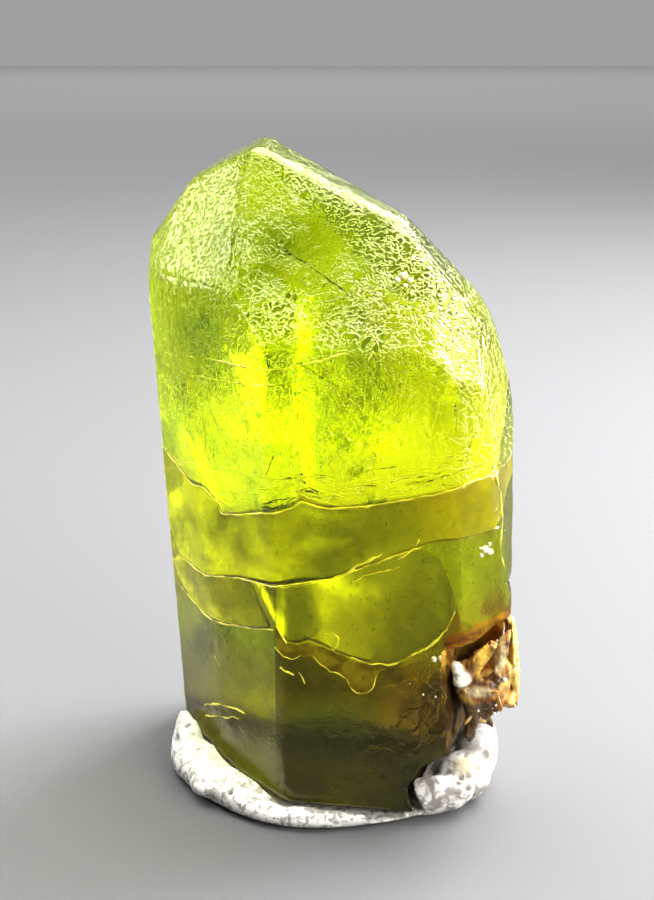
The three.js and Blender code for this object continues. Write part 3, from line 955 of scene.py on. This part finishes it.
# Patches of the pieces' surfaces: the centre and radii of an ellipsoid, in mm.
PATCHES = {
    "green_stain": ((-0.2, -5.7, 4.2), (2.4, 2.5, 1.7)),
    "low_shadow": ((3.2, -6.3, 5.0), (3.2, 2.2, 2.0)),
    "tongue_shadow": ((-2.4, -5.0, 9.0), (0.9, 1.5, 1.9)),
    "disc_shadow": ((0.8, -5.6, 9.9), (1.9, 1.5, 1.3)),
    "amber_glow": ((6.6, -5.4, 8.4), (3.2, 3.2, 2.3)),
    "rust_stain": ((5.6, -5.6, 5.6), (3.9, 3.4, 2.8)),
    "broken_front": ((2.8, -6.2, 2.4), (4.5, 2.5, 2.3)),
    "high_green": ((-5.5, -1.4, 20.0), (2.1, 2.6, 1.5)),
    "clear_top": ((-1.3, -2.2, 23.9), (2.4, 3.0, 2.2)),
    "rear_spot": ((-1.5, 5.8, 21.3), (2.4, 2.0, 1.5)),
    "small_rear_spot": ((3.5, 4.6, 19.3), (0.8, 1.5, 0.7)),
    "low_rear_spot": ((-2.2, 5.9, 19.2), (1.1, 1.5, 1.2)),
    "crack_spot": ((-1.1, 2.8, 16.4), (1.3, 1.6, 2.0)),
    "near_crack_spot": ((-0.2, -0.1, 16.8), (1.0, 1.4, 2.0)),
    "tongue_spot": ((-2.0, -4.0, 8.3), (1.8, 4.5, 3.4)),
    "disc_spot": ((0.3, -4.5, 10.6), (1.6, 3.0, 1.2)),
    "grimy_putty": ((4.6, -5.2, 1.0), (4.2, 3.4, 2.6)),
    "rusty_putty": ((6.0, -4.9, 2.6), (1.6, 1.4, 1.3)),
}
# Tinted patches of the matrix: centre, radii in mm and colour.
MATRIX_TINTS = (
    ((7.7, -4.1, 7.1), (0.5, 1.4, 2.9), (0.6, 0.4, 0.1)),
    ((7.45, -4.3, 5.1), (0.6, 1.0, 0.6), (0.66, 0.38, 0.05)),
    ((6.2, -5.7, 7.5), (0.42, 0.6, 1.1), (0.75, 0.45, 0.06)),
    ((7.0, -5.2, 7.4), (0.3, 0.6, 1.1), (0.85, 0.66, 0.32)),
    ((6.1, -5.7, 6.0), (0.9, 0.5, 0.3), (0.7, 0.55, 0.28)),
    ((5.8, -5.4, 4.4), (1.0, 1.0, 1.7), (0.1, 0.055, 0.015)),
    ((4.9, -5.9, 5.9), (0.7, 0.9, 1.5), (0.22, 0.1, 0.02)),
    ((5.05, -5.95, 7.1), (0.5, 0.5, 0.45), (0.95, 0.9, 0.74)),
    ((5.4, -6.0, 6.6), (0.42, 0.45, 0.5), (0.95, 0.9, 0.74)),
)


class Surface(Nodes):
    """A new material's nodes, with its shader and the place on the piece that its patterns read."""

    def __init__(self, name):
        self.material = bpy.data.materials.new(name)
        self.material.use_nodes = True
        super().__init__(self.material.node_tree)
        self.shader = self.tree.nodes["Principled BSDF"]

    @cached_property
    def place(self):
        return self.add("TexCoord").outputs["Object"]

    @cached_property
    def position(self):
        """The place's x, y and z, in metres."""
        return self.axes(self.place)

    def set(self, **inputs):
        """Sets or links inputs of the shader, named with _ for a space."""
        for name, value in inputs.items():
            self.feed(self.shader.inputs[name.replace("_", " ")], value)

    def bump(self, height, strength, distance):
        """Lets a height bend the shader's normal. The distance is in mm."""
        self.set(Normal=self.add("Bump", Strength=strength, Distance=distance * MM, Height=height).outputs[0])

    def effect(self, name, **inputs):
        """A shared effect with its own values, read at the surface's place."""
        return self.add("Group", {"node_tree": shared_group(name)}, Vector=self.place, **inputs).outputs

    def mottle(self, name):
        """1 in the ragged patches of that name."""
        labels = ("Scale", "Detail", "Low", "High", "Distortion")
        return self.effect("mottle", **dict(zip(labels, MOTTLES[name])))["Mask"]

    def grit(self, scale, detail):
        return self.effect("mottle", Scale=scale, Detail=detail)["Grit"]

    def blob(self, centre, radii):
        """1 inside an ellipsoid given in mm, fading to 0 around it."""
        return self.effect("patch", Centre=[c * MM for c in centre], Radii=[r * MM for r in radii])["Mask"]

    def patch(self, *names):
        """1 in the named patches."""
        return self.largest(*[self.blob(*PATCHES[name]) for name in names])


class CrystalLook(Surface):
    """The gem: clear above the main crack, stained and darkened with painted shade between the cracks below
    it, and clearer behind.
    """

    def __init__(self, settings):
        super().__init__("gem_olivine")
        self.gem = tuple(settings.gem)
        self.along = self.attribute("along")
        self.rear = self.attribute("rear")
        self.cloud = self.mottle("cloud")
        self.spots = self.mottle("spots")
        self.rusty = self.mottle("rust")
        self.flattened = self.vector("MULTIPLY", self.place, i1=(1.0, 1.0, 0.45))
        ragged = self.product(self.swing(self.place, *NOISES["ragged"]), 0.5)
        self.levels = {
            name: self.total(self.attribute("above_" + name), ragged) for name in (*CRACKS, "rust")}
        self.over_main = self.over("main")
        self.over_second = self.over("second")
        self.over_disc = self.product(self.over("disc"), self.between(-2.2, 5.0))
        pyramid = self.largest(self.attribute("pyramid"), self.attribute("pyramid_side"))
        self.prism_faces = self.opposite(pyramid)
        self.rust_stain = self.product(self.patch("rust_stain"), self.opposite(self.over_disc))
        self.set(Base_Color=self.mix(self.rear, self.front_colour(), self.rear_colour()),
                 Roughness=self.roughness(), Transmission_Weight=1.0, IOR=PERIDOT_IOR,
                 Specular_Tint=(1.0, 1.0, 0.5))
        self.bump(self.relief(), 1.0, 0.035)
        absorbing = self.add("VolumeAbsorption", Color=ABSORBED, Density=ABSORPTION_DENSITY)
        self.feed(self.tree.nodes["Material Output"].inputs["Volume"], absorbing.outputs[0])

    def over(self, name):
        """1 above a crack."""
        return self.ramp(self.levels[name], -0.05, 0.05)

    def between(self, left, right):
        """1 between two places along the front, in mm."""
        return self.product(self.ramp(self.along, left - 0.1, left),
                            self.ramp(self.along, right, right + 0.1, 1.0, 0.0))

    def line(self, name, left, right, width=0.07):
        """1 along the edge of a crack."""
        distance = self.math("ABSOLUTE", self.levels[name])
        return self.product(self.ramp(distance, width * 0.5, width, 1.0, 0.0), self.between(left, right))

    def zone(self, name, mask):
        """A zone's tints, dark where the mask is 0 and light where it is 1."""
        return self.mix(mask, *ZONE_TINTS[name])

    def stained_and_shaded_colour(self):
        """The zones below the main crack, from the foot up: stain colours, darkened as painted shade."""
        cloud, height = self.cloud, self.position[2]
        left = self.ramp(self.along, -2.33, -2.27, 1.0, 0.0)
        block = self.mix(self.over("third"), self.zone("block", cloud), self.zone("brown", cloud))
        # Stain tints, darker as painted shade for the light that the cracks hold back from the lower half.
        colour = self.layered(
            self.zone("foot", cloud),
            (self.patch("green_stain"), GREEN_STAIN),
            (left, block),
            (self.product(self.over("rust"), self.between(-2.2, 7.6)), self.zone("rust_lobe", self.rusty)),
            (self.over_disc, self.zone("disc", cloud)),
            (self.over_second, self.zone("band", cloud)))
        flecks = self.product(self.mottle("flecks"), self.ramp(cloud, 0.0, 0.6))
        colour = self.darker(self.darker(colour, self.spots, 0.72), flecks, 0.35)
        low = self.product(self.ramp(height, 2.5 * MM, 6 * MM, 1.0, 0.0), left)
        colour = self.mix(self.product(low, 0.7), colour, LOW_BROWN)
        return self.darker(colour, self.patch("low_shadow"), 0.4)

    def clear_colour(self):
        """The clear half above the main crack, with darker meshes between its bright lines."""
        crackle = self.math("ABSOLUTE", self.swing(self.flattened, *NOISES["crackle"]))
        meshes = self.product(self.ramp(crackle, 0.02, 0.07), self.prism_faces,
                              self.rated(self.cloud, 0.5, 1.0), self.ramp(self.levels["main"], 0.3, 3.0))
        green = self.product(self.patch("high_green"), self.rated(self.spots, 0.35, 0.9))
        return self.mix(green, self.darker(self.gem, meshes, 0.55), HIGH_GREEN)

    def front_colour(self):
        """Both halves with the amber and rust around the matrix, and a painted highlight along the edges of
        the cracks.
        """
        below_main = self.product(self.ramp(self.levels["main"], -0.9, -0.1), self.opposite(self.over_main))
        amber_edge = self.product(below_main, self.ramp(self.along, 1.5, 5.0), 0.75)
        glow = self.product(self.patch("amber_glow"), self.opposite(self.over_disc))
        rusting = self.product(self.rusty, self.ramp(self.position[2], 5.2 * MM, 7.8 * MM, 0.12, 1.0))
        colour = self.layered(
            self.stained_and_shaded_colour(),
            (self.over_main, self.clear_colour()),
            (amber_edge, AMBER_EDGE),
            (glow, self.zone("amber", self.rusty)),
            (self.rust_stain, self.zone("stain", rusting)))
        shadow = self.product(self.patch("tongue_shadow", "disc_shadow"), self.opposite(self.over_second))
        # Painted highlight: bright yellow lines along the edges of the cracks, as if they caught the light.
        edges = self.largest(self.line("main", -7.5, 7.0, 0.08), self.line("second", -6.9, 3.6),
                             self.line("disc", -2.2, 4.9))
        return self.mix(edges, self.darker(colour, shadow, 0.5), PAINTED_CRACK_GLINT)

    def rear_colour(self):
        """The rear: dark brown towards its foot as painted shade, which keeps the light behind from showing
        through, with dark green spots near its top.
        """
        spots = self.product(self.patch("rear_spot", "small_rear_spot", "low_rear_spot"),
                             self.rated(self.cloud, 0.6, 1.0))
        # Painted shade: the rear darkens towards its foot.
        colour = self.mix(self.ramp(self.position[2], 3 * MM, 9 * MM), REAR_FOOT, self.gem)
        return self.mix(spots, colour, REAR_GREEN)

    def roughness(self):
        """Hazy below the main crack, more so in the disc, and frosted behind."""
        disc_haze = self.product(self.over_disc, self.rated(self.over_second, 0.36, 0.0))
        haze = self.largest(self.rated(self.over_main, 0.24, 0.0), disc_haze)
        frost = self.product(self.rear, self.rated(self.attribute("roof"), 0.5, 0.18))
        return self.largest(frost, haze)

    def relief(self):
        """Etched worms on the pyramid, scratches above the main crack, and crust and dents below it."""
        worms = self.ramp(self.math("ABSOLUTE", self.swing(self.place, *NOISES["worms"])), 0.0, 0.08)
        patchy = self.mottle("etched")
        pyramid = self.product(self.attribute("pyramid"), self.rated(patchy, 0.25, 0.75),
                               self.rated(self.patch("clear_top"), 1.0, 0.28))
        etched = self.largest(self.product(self.attribute("pyramid_side"), 1.5), pyramid,
                              self.product(patchy, 0.15), self.product(self.over_main, self.prism_faces, 0.4))
        scratches = self.product(self.noise(self.flattened, *NOISES["scratches"]), self.over_main, 0.6)
        broken = self.largest(self.rust_stain, self.product(self.patch("broken_front"), 0.6))
        crust = self.product(broken, self.mottle("broken"), 1.3)
        dents = self.product(self.noise(self.place, *NOISES["dents"]), self.rated(self.over_main, 2.2, 0.0))
        return self.total(self.product(worms, etched), scratches, crust, dents)


def crack_material(name, bright, dark, transmission, roughness, streak, spots):
    """A healed crack: partly clear, partly a pale film that scatters light, with streaks and dark spots, and
    painted light and shade that make the film lighter on the right and darker on the left.
    """
    look = Surface(name)
    x, _, height = look.position
    stretched = look.vector("MULTIPLY", look.place, i1=streak)
    streaks = look.noise(stretched, *NOISES["streaks"])
    blots = look.noise(look.place, *NOISES["blots"])
    fibres = look.noise(stretched, *NOISES["fibres"])
    # Painted light and shade: the ramp along x lifts the film towards the right, and the darkening after it
    # dims the film's left.
    shade = look.total(look.product(streaks, 0.4), look.product(blots, 0.35), look.product(fibres, 0.25),
                       look.ramp(x, 0.5 * MM, 5 * MM, 0.0, 0.16))
    colour = look.mix(look.ramp(shade, 0.43, 0.54), dark, bright)
    colour = look.darker(colour, look.ramp(x, -1 * MM, 4 * MM, 1.0, 0.0), 0.66)
    far_end = look.product(look.ramp(height, 15.5 * MM, 18.5 * MM), look.ramp(x, 0.5 * MM, 4 * MM, 1.0, 0.2))
    colour = look.darker(colour, far_end, 0.25)
    for spot in spots:
        colour = look.mix(look.product(look.patch(spot), 0.8), colour, CRACK_GREEN)
    look.set(Base_Color=colour, Roughness=roughness, Transmission_Weight=transmission, IOR=PERIDOT_IOR)
    look.bump(streaks, 1.0, 0.04)
    return look.material


def crust_material():
    """Rusty crust on the walls of the matrix's pocket, made lighter as painted light against the pocket's
    shadow, and darker towards the bottom.
    """
    look = Surface("rusty_crust")
    mottle = look.mottle("pocket")
    # Painted light: rust colours made lighter to lift the pocket out of its shadow.
    crust = look.mix(mottle, (0.3, 0.11, 0.008), (0.9, 0.55, 0.06))
    # Darker towards the bottom of the pocket.
    crust = look.darker(crust, look.ramp(look.position[2], 6.2 * MM, 8.4 * MM, 1.0, 0.0), 0.09)
    look.set(Base_Color=crust, Roughness=0.75, Specular_IOR_Level=0.12)
    look.bump(mottle, 0.6, 0.06)
    return look.material


def plain_material(name, colour, roughness, **inputs):
    """One colour all over."""
    look = Surface(name)
    look.set(Base_Color=tuple(colour), Roughness=roughness, **inputs)
    return look.material


def crystal_materials(settings):
    """The crystal's materials, in the order of its slots."""
    return (
        CrystalLook(settings).material,
        crack_material("open_crack", (1.0, 0.86, 0.01), (0.24, 0.3, 0.004), 0.3, 0.25, (1.0, 0.35, 0.6),
                       ("crack_spot", "near_crack_spot")),
        crack_material("stained_crack", (0.8, 0.7, 0.01), (0.35, 0.3, 0.004), 0.6, 0.3, (0.6, 0.6, 1.0),
                       ("tongue_spot", "disc_spot")),
        # Near black: the foot's rust, and painted shade under the crystal.
        plain_material("broken_foot", (0.05, 0.03, 0.01), 0.8),
        # Near black: painted shade on the broken underside.
        plain_material("dark_break", (0.035, 0.022, 0.004), 0.35),
        crust_material(),
        # Painted glint: a bright yellow for the light caught by the veins, crack edges and streaks.
        plain_material("bright_edge", (1.0, 0.86, 0.01), 0.6, Transmission_Weight=0.2),
        plain_material("needle", (0.012, 0.015, 0.003), 0.5),
        plain_material("pale_speck", (0.8, 0.72, 0.42), 0.5),
    )


def matrix_material(settings):
    """Iron-stained rock: dark in its hollows, amber on its splinters, with white grains and a beige strip."""
    look = Surface("iron_stain")
    mottle = look.mottle("rock")
    colour = look.mix(mottle, (0.055, 0.02, 0.004), tuple(settings.rust))
    colour = look.mix(look.product(look.mottle("ochre"), mottle), colour, (0.62, 0.36, 0.06))
    half = look.product(mottle, 0.5)
    for centre, radii, shade in MATRIX_TINTS:
        speckled = look.mix(half, shade, [0.55 * c for c in shade])
        colour = look.mix(look.blob(centre, radii), colour, speckled)
    look.set(Base_Color=colour, Roughness=look.rated(mottle, 0.35, 0.7))
    look.bump(look.grit(5200, 3), 0.6, 0.03)
    return look.material


def shard_material():
    """Amber splinters that let some light through."""
    look = Surface("amber_shard")
    colour = look.mix(look.mottle("shard"), (0.5, 0.2, 0.01), (0.85, 0.6, 0.2))
    look.set(Base_Color=colour, Roughness=0.3, Transmission_Weight=0.4)
    return look.material


def putty_material(settings):
    """White putty with grey-brown dirt in its pits, along its foot and on its right side."""
    look = Surface("putty_white")
    height = look.position[2]
    pits = look.product(look.ramp(look.cells(look.place, 2000), 0.1, 0.5, 1.0, 0.0),
                        look.mottle("putty_pits"), 0.9)
    specks = look.product(look.mottle("putty_specks"),
                          look.ramp(height, 0.7 * MM, 2 * MM, 1.0, 0.0), 0.7)
    foot = look.product(look.ramp(height, 0.05 * MM, 0.45 * MM, 0.85, 0.0), look.mottle("putty_foot"))
    smears = look.product(look.patch("grimy_putty"), look.mottle("putty_smears"), 0.75)
    rusty = look.product(look.patch("rusty_putty"), 0.8)
    clean = look.mix(rusty, tuple(settings.clean), (0.5, 0.34, 0.1))
    dirty = look.largest(pits, specks, foot, smears)
    look.set(Base_Color=look.mix(dirty, clean, tuple(settings.dirt)), Roughness=0.75)
    look.bump(look.grit(3600, 4), 0.5, 0.04)
    return look.material


def floor_material(settings):
    """Pale paper that darkens towards the camera, so that the front faces mirror little light."""
    look = Surface("floor")
    x, y, _ = look.position
    behind = look.ramp(y, -17.5 * MM, -12.5 * MM)
    spread = look.product(look.math("MAXIMUM", y, 0.0), 0.24)
    aside = look.math("SUBTRACT", look.math("ABSOLUTE", x), spread)
    pale = look.product(behind, look.ramp(aside, 14.8 * MM, 20.5 * MM, 1.0, 0.0))
    far = look.mix(look.ramp(y, 0.15, 1.5), tuple(settings.floor), tuple(1.95 * c for c in settings.floor))
    look.set(Base_Color=look.mix(pale, (0.012, 0.012, 0.012), far), Roughness=0.9)
    return look.material


# ------------------------------------------------------------------ stage


# Half the width of the floor in metres, and the point that the lamps face.
FLOOR_HALF = 1.5
AIM = Vector((0, 0, 14 * MM))
# The lamps: azimuth and elevation in degrees, distance, width and height in mm, and watts.
SOFTBOXES = {
    "left_softbox": (-117, 24, 110, 50, 50, 0.05),
    "right_softbox": (81, 42, 110, 80, 80, 0.09),
    "ridge_softbox": (139, 74, 110, 36, 36, 0.05),
    "back_softbox": (130, 42, 200, 130, 80, 1.4),
    "side_softbox": (106, 8, 110, 50, 40, 0.2),
    "front_softbox": (42, 24, 120, 60, 60, 0.18),
    "overhead_softbox": (-175, 70, 1600, 1850, 1480, 84.0),
}
# The camera: its place in metres, degrees up from looking straight down, and lens and sensor in mm.
CAMERA_PLACE = (-0.00013867, -0.0605287, 0.0320707)
CAMERA_TILT = 74
LENS, SENSOR = 58, 36


def make_floor(settings):
    """A wide flat floor."""
    corners = [(s * FLOOR_HALF, t * FLOOR_HALF, 0) for s, t in ((-1, -1), (1, -1), (1, 1), (-1, 1))]
    mesh = bpy.data.meshes.new("floor")
    mesh.from_pydata(corners, [], [(0, 1, 2, 3)])
    mesh.materials.append(floor_material(settings))
    return new_object("floor", mesh)


def make_room(settings):
    """The even light of the room, dimmer from above than from the sides."""
    world = bpy.data.worlds.new("room")
    world.use_nodes = True
    nodes = Nodes(world.node_tree)
    background = world.node_tree.nodes["Background"]
    upward = nodes.axes(nodes.add("TexCoord").outputs["Generated"])[2]
    shade = nodes.mix(nodes.ramp(upward, 0.03, 0.3), (1.0, 1.0, 1.0), (0.35, 0.35, 0.36))
    nodes.feed(background.inputs["Color"], shade)
    background.inputs["Strength"].default_value = settings.sky
    return world


def make_softbox(name, azimuth, elevation, distance, width, height, watts):
    """A rectangular lamp that faces the middle of the crystal."""
    light = bpy.data.lights.new(name, "AREA")
    light.shape = "RECTANGLE"
    light.size, light.size_y = width * MM, height * MM
    light.energy = watts
    lamp = new_object(name, light)
    a, e = math.radians(azimuth), math.radians(elevation)
    towards = Vector((math.sin(a) * math.cos(e), -math.cos(a) * math.cos(e), math.sin(e)))
    lamp.location = AIM + towards * distance * MM
    lamp.rotation_euler = towards.to_track_quat("Z", "Y").to_euler()


def make_camera():
    """The camera, looking along +Y and down."""
    camera = new_object("camera", bpy.data.cameras.new("camera"))
    camera.location = CAMERA_PLACE
    camera.rotation_euler = (math.radians(CAMERA_TILT), 0, 0)
    camera.data.lens = LENS
    camera.data.sensor_width = SENSOR
    camera.data.clip_start, camera.data.clip_end = 0.001, 10
    return camera


# ------------------------------------------------------------------ operators


class PERIDOT_OT_crystal(bpy.types.Operator):
    """Build the gem prism with its cracks, veins, specks, chips and the pocket of the matrix"""
    bl_idname = "peridot.crystal"
    bl_label = "Peridot crystal"

    def execute(self, context):
        settings = context.scene.peridot_crystal
        piece = new_object("peridot_gem", make_crystal_mesh(Prism.of_node("peridot_crystal"), settings))
        for material in crystal_materials(settings):
            piece.data.materials.append(material)
        for seed, (name, (centre, radii, slot)) in enumerate(CHIPS.items()):
            cut_away(piece, chip_cutter(name, centre, radii, seed * 9.0), slot)
        cut_away(piece, seat_cutter(piece.data.materials[CRUST]), CRUST)
        paint_foot(finished(piece.data))
        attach(piece, ROOT)
        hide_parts("peridot_crystal")
        return {"FINISHED"}


class PERIDOT_OT_matrix(bpy.types.Operator):
    """Build the rusty rock with its white grains and amber splinters"""
    bl_idname = "peridot.matrix"
    bl_label = "Rusty matrix"

    def execute(self, context):
        settings = context.scene.peridot_matrix
        piece = rough_piece(
            "rusty_matrix", "iron_stained_matrix", settings.voxel, 2, lump_height=0.3, lump_size=0.5,
            pit_depth=0.14, pit_size=0.3, grit_height=0.1, grit_size=0.12, flat_below=-5.0,
            material=matrix_material(settings))
        use_tree(piece, "grains", per_square_mm=0.8, least_size=0.04, largest_size=0.14, farthest_right=7.2,
                 seed=4, material=plain_material("pale_grain", settings.grain, 0.5))
        use_tree(piece, "grains", per_square_mm=0.3, least_size=0.08, largest_size=0.2, width=0.5, length=2.2,
                 farthest_right=7.2, seed=9, material=shard_material())
        finished(piece.data)
        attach(piece, ROOT)
        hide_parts("iron_stained_matrix")
        return {"FINISHED"}


class PERIDOT_OT_putty(bpy.types.Operator):
    """Build the pad of putty with its pits and dirt"""
    bl_idname = "peridot.putty"
    bl_label = "Putty pad"

    def execute(self, context):
        settings = context.scene.peridot_putty
        piece = rough_piece(
            "putty_pad", "putty_base", settings.voxel, 5, lump_height=0.3, lump_size=1.4, pit_depth=0.3,
            pit_size=0.5, grit_height=0.06, grit_size=0.2, flat_below=0.05, material=putty_material(settings))
        use_tree(piece, "grains", per_square_mm=0.7, least_size=0.02, largest_size=0.07, highest=0.7, seed=2,
                 material=plain_material("grime_crumb", settings.dirt, 0.9))
        finished(piece.data)
        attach(piece, ROOT)
        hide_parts("putty_base")
        return {"FINISHED"}


class PERIDOT_OT_stage(bpy.types.Operator):
    """Build the floor, the light and the camera"""
    bl_idname = "peridot.stage"
    bl_label = "Stage"

    def execute(self, context):
        scene = context.scene
        settings = scene.peridot_stage
        make_floor(settings)
        scene.world = make_room(settings)
        for name, values in SOFTBOXES.items():
            make_softbox(name, *values)
        scene.camera = make_camera()
        scene.view_settings.view_transform = "Standard"
        scene.cycles.max_bounces = 14
        scene.cycles.transmission_bounces = 14
        scene.cycles.glossy_bounces = 8
        return {"FINISHED"}


class PERIDOT_PT_panel(bpy.types.Panel):
    bl_idname = "PERIDOT_PT_panel"
    bl_label = "Peridot crystal"
    bl_space_type = "VIEW_3D"
    bl_region_type = "UI"
    bl_category = "Peridot"

    def draw(self, context):
        for operator in OPERATORS:
            self.layout.operator(operator.bl_idname)


SETTINGS = {
    "peridot_crystal": CrystalSettings,
    "peridot_matrix": MatrixSettings,
    "peridot_putty": PuttySettings,
    "peridot_stage": StageSettings,
}
OPERATORS = (PERIDOT_OT_stage, PERIDOT_OT_crystal, PERIDOT_OT_matrix, PERIDOT_OT_putty)
CLASSES = (*SETTINGS.values(), *OPERATORS, PERIDOT_PT_panel)


def register():
    for cls in CLASSES:
        bpy.utils.register_class(cls)
    for name, group in SETTINGS.items():
        setattr(bpy.types.Scene, name, bpy.props.PointerProperty(type=group))


def unregister():
    for name in SETTINGS:
        delattr(bpy.types.Scene, name)
    for cls in reversed(CLASSES):
        bpy.utils.unregister_class(cls)


def main():
    register()
    bpy.ops.peridot.stage()
    bpy.ops.peridot.crystal()
    bpy.ops.peridot.matrix()
    bpy.ops.peridot.putty()


if __name__ == "__main__":
    main()
